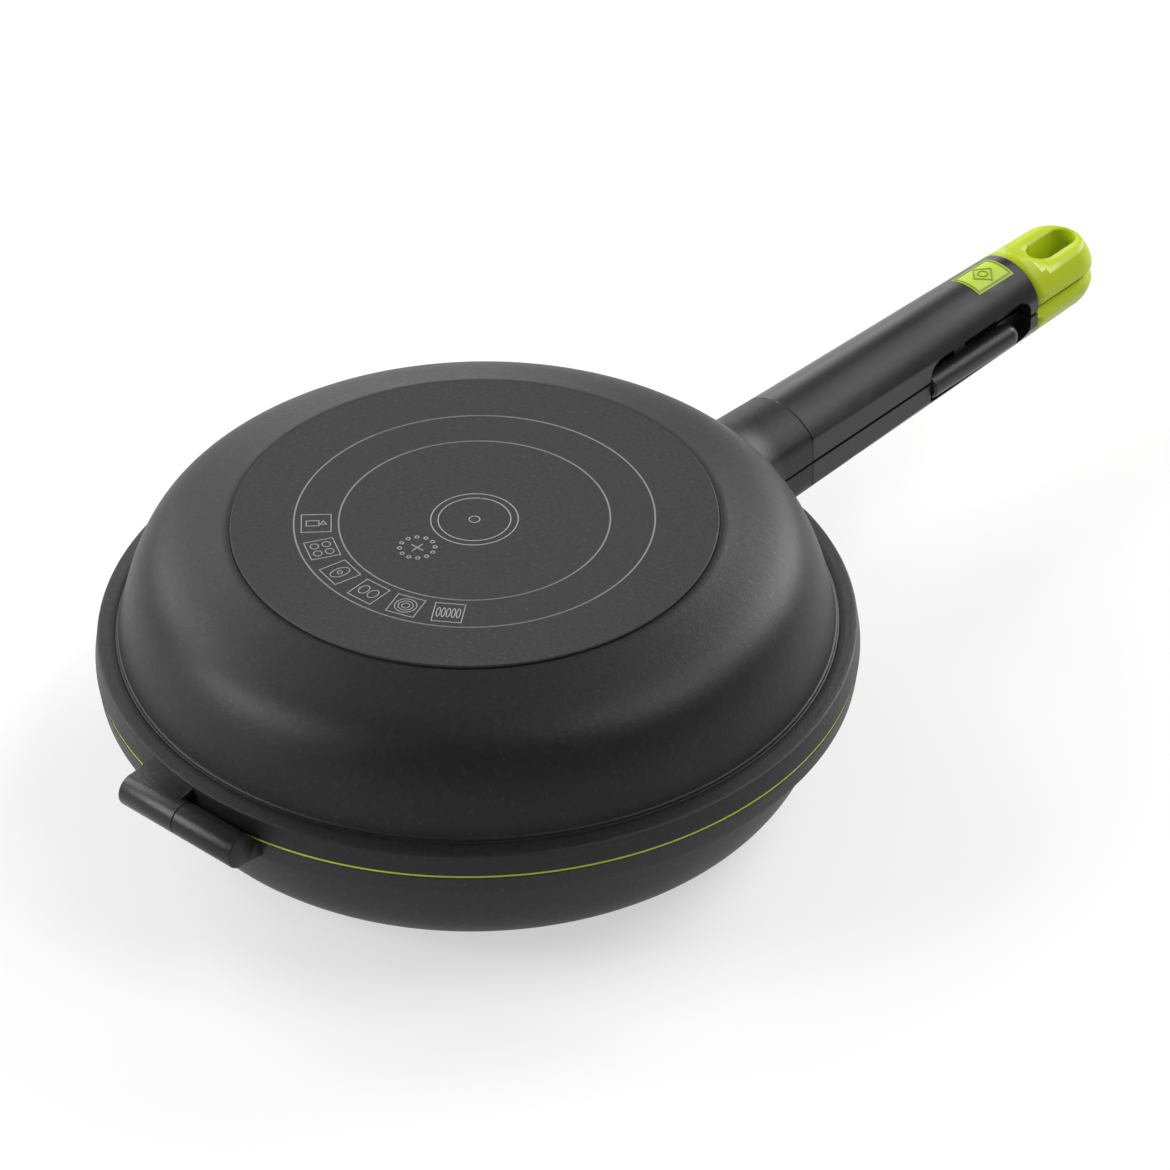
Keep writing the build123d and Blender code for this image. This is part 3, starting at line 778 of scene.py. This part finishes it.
def make_lug(start, length):
    """Flat lug between the barrel and the rim."""
    inner, deep, short, shy = LUG
    low, high = SPLIT - deep, SPLIT - RIM_FACE
    lug = block("lug", (start + short, HINGE_Y, low), (start + length - shy, -inner, high))
    for point in lug.data.vertices:
        if abs(point.co.y - HINGE_Y) < TOUCH and abs(point.co.z - low) < TOUCH:
            point.co.z = SPLIT - BARREL
    with_modifier(lug, "BEVEL", width=LUG_ROUND, segments=4)
    return lug


def make_tang():
    """Tang with its two countersunk holes."""
    width, length, face, back = TANG
    tang = block("tang", (-width / 2, SEAM - TANG_ROOT, SPLIT - back),
                 (width / 2, SEAM + length, SPLIT - face))
    with_modifier(tang, "BEVEL", width=TANG_ROUND, segments=2)
    wide, bore, cone = TANG_HOLE
    below = SPLIT - back - 1
    for y in SCREW_PLACES:
        outline = [(0, y, SPLIT), (wide, y, SPLIT), (wide, y, SPLIT - face),
                   (bore, y, SPLIT - face - cone), (bore, y, below), (0, y, below)]
        cut(tang, turned("drill", outline, SCREW_STEPS, (0, y, 0), (0, 0, 1)))
    return tang


def make_pan(name, start, length, bore, bore_depth, grooved):
    """One whole pan, in the lower place."""
    outline = ring_outline(pan_outline(grooved))
    pan = turned(name, outline, SPIN_STEPS, (0, 0, 0), (0, 0, 1))
    add_boss(pan)
    return joined(pan, make_barrel(start, length, bore, bore_depth),
                  make_lug(start, length), make_tang())


finish_piece(make_pan("lower_pan_body", *LOWER_BARREL, grooved=True),
             "lower_half", COATING, "pan_coating", "lower_pan")
finish_piece(make_pan("upper_pan_body", *UPPER_BARREL, grooved=False),
             "upper_half", COATING, "pan_coating", "upper_pan", over=True)


# ---- marks, relief, screws and caps -------------------------------------------------------
def flat_ring(place, corners, width, stroke, height, turn=0.0, squeeze=1.0):
    """Thin line round a square or a many-sided figure, raised from z = 0 to a height."""
    bpy.ops.object.select_all(action="DESELECT")
    if corners == 4:
        bpy.ops.mesh.primitive_plane_add(size=width)
    else:
        bpy.ops.mesh.primitive_circle_add(vertices=corners, radius=width / 2,
                                          fill_type="NGON")
    piece = bpy.context.object
    piece.scale = (1.0, squeeze, 1.0)
    piece.rotation_euler.z = turn
    piece.location = (*place, 0.0)
    bpy.ops.object.transform_apply()
    bpy.ops.object.mode_set(mode="EDIT")
    bpy.ops.mesh.select_all(action="SELECT")
    bpy.ops.mesh.inset(thickness=stroke)
    bpy.ops.mesh.delete(type="FACE")
    bpy.ops.mesh.select_all(action="SELECT")
    bpy.ops.mesh.extrude_region_move(TRANSFORM_OT_translate={"value": (0, 0, height)})
    bpy.ops.mesh.select_all(action="SELECT")
    bpy.ops.mesh.normals_make_consistent(inside=False)
    bpy.ops.object.mode_set(mode="OBJECT")
    return piece


def make_marks(name):
    """Etched marks of a base plate: centre rings, a date dial and six squares of signs."""
    marks = [flat_ring((0.0, 0.0), 96, width, MARK_LINE, MARK_HEIGHT)
             for width in CENTRE_RINGS]
    middle, reach = Vector(DIAL[:2]), DIAL[2]
    for k in range(DIAL_MARKS):
        turn = math.radians(360 / DIAL_MARKS * (k + 0.5))
        place = middle + reach * Vector((math.cos(turn), math.sin(turn)))
        marks.append(flat_ring(place, 16, DIAL_MARK, MARK_LINE, MARK_HEIGHT))
    length, share = CROSS
    for turn in (0.0, math.pi / 2):
        marks.append(flat_ring(middle, 24, length, CROSS_LINE, MARK_HEIGHT, turn, share))
    for k, signs in enumerate(SIGNS):
        turn = math.radians(SIGN_START - SIGN_STEP * k)
        out = Vector((math.cos(turn), math.sin(turn)))
        along = Vector((-out.y, out.x))
        for across, aside, corners, width, squeeze in ((0.0, 0.0, 4, SIGN_SQUARE, 1.0), *signs):
            place = out * (SIGN_R + across) + along * aside
            marks.append(flat_ring(place, corners, width, SIGN_LINE, MARK_HEIGHT, turn,
                                   squeeze))
    marks = joined(*marks)
    marks.name = name
    marks.data.transform(Matrix.Translation((0, 0, -MARK_HEIGHT)))
    return marks


def make_inlay_relief(name):
    """Raised border, diamond and ring of the lime plate, bent over the grip's crown."""
    start, length, width, proud = INLAY
    middle = (0.0, start + length / 2)
    wide, narrow = RELIEF_LINES
    border, long = width - RELIEF_MARGIN, length - RELIEF_MARGIN
    relief = joined(
        flat_ring(middle, 4, border, wide, RELIEF, 0.0, long / border),
        flat_ring(middle, 4, DIAMOND, narrow, RELIEF, math.pi / 4),
        flat_ring(middle, 48, RELIEF_RING, narrow, RELIEF))
    relief.name = name
    bpy.ops.object.mode_set(mode="EDIT")
    bpy.ops.mesh.select_all(action="SELECT")
    bpy.ops.mesh.subdivide(number_cuts=RELIEF_CUTS)
    bpy.ops.object.mode_set(mode="OBJECT")
    for point in relief.data.vertices:
        _, crown, centre = section_at(point.co.y)
        reach = crown - centre + proud - RELIEF / 2 + point.co.z
        point.co.z = SPLIT - centre - math.sqrt(reach ** 2 - point.co.x ** 2)
    bpy.ops.object.mode_set(mode="EDIT")
    bpy.ops.mesh.select_all(action="SELECT")
    bpy.ops.mesh.normals_make_consistent(inside=False)
    bpy.ops.object.mode_set(mode="OBJECT")
    return relief


def make_screw(name, y, face, shank, head, length, socket):
    """Countersunk screw with a six-sided socket, its head at a depth."""
    top = SPLIT - face
    outline = [(0, y, top), (head - HEAD_BEVEL, y, top), (head, y, top - HEAD_BEVEL),
               (shank, y, top - head + shank), (shank, y, top - length + TIP_BEVEL),
               (shank - TIP_BEVEL, y, top - length), (0, y, top - length)]
    screw = turned(name, outline, SCREW_STEPS, (0, y, 0), (0, 0, 1))
    bpy.ops.mesh.primitive_cylinder_add(vertices=6, radius=socket, depth=2 * socket,
                                        location=(0, y, top))
    cut(screw, bpy.context.object)
    return screw


def make_tang_screws(name):
    """The two screws of a tang, modelled once and copied."""
    first, second = SCREW_PLACES
    screw = make_screw(name, first, *TANG_SCREW)
    other = screw.copy()
    other.data = screw.data.copy()
    other.data.transform(Matrix.Translation((0, second - first, 0)))
    bpy.context.collection.objects.link(other)
    return joined(screw, other)


def copy_of_solid(name, node, over):
    """Merged copy of a solid in millimetres, at the lower half's place."""
    bpy.ops.object.select_all(action="DESELECT")
    piece = bpy.data.objects[node].copy()
    piece.data = bpy.data.objects[node].data.copy()
    piece.name = name
    bpy.context.collection.objects.link(piece)
    piece.data.transform(Matrix.Scale(1000, 4))
    if over:
        piece.data.transform(TURN_OVER)
    piece.select_set(True)
    bpy.context.view_layer.objects.active = piece
    bpy.ops.object.mode_set(mode="EDIT")
    bpy.ops.mesh.select_all(action="SELECT")
    bpy.ops.mesh.remove_doubles(threshold=0.01)
    bpy.ops.object.mode_set(mode="OBJECT")
    return piece


def pare(place, outward, along):
    """Slices an edge off the active cap: a place on it, its way out and its run."""
    inward, down = CAP_BEVEL
    over_slice = outward * -inward + Vector((0, 0, down))
    normal = along.cross(over_slice).normalized()
    if normal.z < 0:
        normal.negate()
    bpy.ops.object.mode_set(mode="EDIT")
    bpy.ops.mesh.select_all(action="SELECT")
    bpy.ops.mesh.bisect(plane_co=place - Vector((0, 0, down)), plane_no=normal,
                        use_fill=True, clear_outer=True, threshold=0.0001)
    bpy.ops.object.mode_set(mode="OBJECT")


def make_bevelled_cap(name, node, over):
    """Half end cap with a wide bevel along the split and round the tip."""
    cap = copy_of_solid(name, node, over)
    middle, radius = CAP_ROUND[:2]
    face = SPLIT - CAP_GAP
    for side in (-1, 1):
        near = Vector((side * section_at(CAP_SEAM)[0], CAP_SEAM, face))
        far = Vector((side * section_at(middle)[0], middle, face))
        pare(near, Vector((side, 0, 0)), far - near)
    for k in range(1, TIP_CUTS):
        turn = math.pi * k / TIP_CUTS
        outward = Vector((math.cos(turn), math.sin(turn), 0))
        along = Vector((-math.sin(turn), math.cos(turn), 0))
        pare(Vector((0, middle, face)) + outward * radius, outward, along)
    return cap


for side, over in (("lower", False), ("upper", True)):
    half = side + "_half"
    finish_piece(make_bevelled_cap(side + "_cap_bevelled", side + "_end_cap", over), half,
                 LIME, "lime_plastic", side + "_end_cap", angle=CAP_SMOOTH, over=over)
    finish_piece(make_marks(side + "_base_marks"), half, MARKS, "base_coating", over=over)
    finish_piece(make_inlay_relief(side + "_inlay_relief"), half, RELIEF_LIME, "lime_plate",
                 over=over)
    finish_piece(make_tang_screws(side + "_tang_screw_pair"), half, STEEL, "steel",
                 side + "_tang_screws", over=over)
    finish_piece(make_screw(side + "_cap_screw_socketed", *CAP_SCREW), half, STEEL, "steel",
                 side + "_cap_screw", over=over)


# ---- floor and light ----------------------------------------------------------------------
def make_floor():
    """Wide white floor that keeps the shadow; what is seen of it glows a little."""
    bpy.ops.mesh.primitive_plane_add(size=FLOOR_SIZE, location=(0, 0, -FLOOR_DROP))
    floor = bpy.context.object
    floor.name = "floor"
    bpy.ops.object.transform_apply(location=True)
    material, tree, shader = start_finish("floor_paper", Roughness=0.9)
    shader.inputs["Specular IOR Level"].default_value = 0.1
    ray = tree.add("ShaderNodeLightPath").outputs
    seen = tree.math("ADD", ray["Is Camera Ray"], ray["Is Glossy Ray"])
    seen = tree.math("ADD", seen, ray["Is Transmission Ray"])
    slow = tree.add("ShaderNodeGroup", {"Scale": 1.5, "Contrast": 0.2}, node_tree=HANDLING)
    paper = tree.mix(slow.outputs["Value"], grey(0.90), grey(0.94))
    paper = tree.mix(seen, grey(0.60), paper)       # duller to the rays that light the pan
    tree.link(paper, shader.inputs["Base Color"])
    glow = tree.add("ShaderNodeEmission", {"Color": (1.0, 1.0, 1.0, 1.0), "Strength": 1.0})
    both = tree.add("ShaderNodeMixShader", {
        0: tree.math("MULTIPLY", seen, FLOOR_GLOW),
        1: shader.outputs[0], 2: glow.outputs[0]})
    tree.link(both.outputs[0], material.node_tree.nodes["Material Output"].inputs[0])
    floor.data.materials.append(material)


def make_world():
    """Even, low fill from all round."""
    world = bpy.data.worlds.new("studio")
    bpy.context.scene.world = world
    world.use_nodes = True
    sky = world.node_tree.nodes["Background"]
    sky.inputs["Color"].default_value = (1.0, 1.0, 1.0, 1.0)
    sky.inputs["Strength"].default_value = FILL_LIGHT


add_camera()
make_floor()
make_world()
for name, settings in LAMPS.items():
    add_lamp(name, *settings)

bpy.context.scene.view_settings.view_transform = "Standard"
